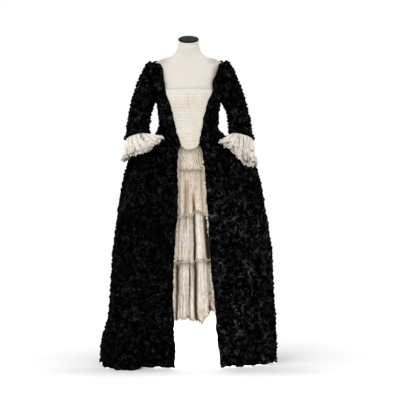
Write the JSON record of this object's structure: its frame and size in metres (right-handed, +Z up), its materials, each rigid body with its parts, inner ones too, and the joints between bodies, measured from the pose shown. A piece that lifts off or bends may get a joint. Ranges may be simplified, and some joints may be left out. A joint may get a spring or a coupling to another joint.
{
  "type": "robe a la francaise on a limbless dress form",
  "caption": "Open black gown with a pleated sack back, elbow sleeves and cuff ruffles over a pale stomacher and tiered petticoat, on a limbless dress form with a stand.",
  "frame": {"origin": "on the floor, at the middle of the underside of the stand's round base, below the pole", "axes": "+Z up along the pole; the front of the gown faces -Y; +X is the wearer's left"},
  "size_m": [0.8168, 0.9946, 1.5194],
  "materials": {
    "robe_cloth": "tufted boucle",
    "stomacher_cloth": "ribbed",
    "petticoat_cloth": "lace and crepe",
    "ruffle_cloth": "pleated lace",
    "form_linen": "smooth cover",
    "cap_black": "satin",
    "ring_white": "satin",
    "stand_white": "satin"
  },
  "bodies": {
    "root": {"bodice_front_right": "robe_cloth", "bodice_front_left": "robe_cloth", "bodice_back": "robe_cloth", "skirt_front_right": "robe_cloth", "skirt_front_left": "robe_cloth", "skirt_side_right": "robe_cloth", "skirt_side_left": "robe_cloth", "sack_back": "robe_cloth", "sleeve_right": "robe_cloth", "sleeve_left": "robe_cloth", "stomacher": "stomacher_cloth", "petticoat": "petticoat_cloth", "petticoat_flounce_1": "petticoat_cloth", "petticoat_flounce_2": "petticoat_cloth", "petticoat_flounce_3": "petticoat_cloth", "cuff_ruffle_right": "ruffle_cloth", "cuff_ruffle_left": "ruffle_cloth", "form_torso": "form_linen", "neck_cap": "cap_black", "neck_ring": "ring_white", "stand_pole": "stand_white", "stand_base": "stand_white"}
  },
  "joints": []
}
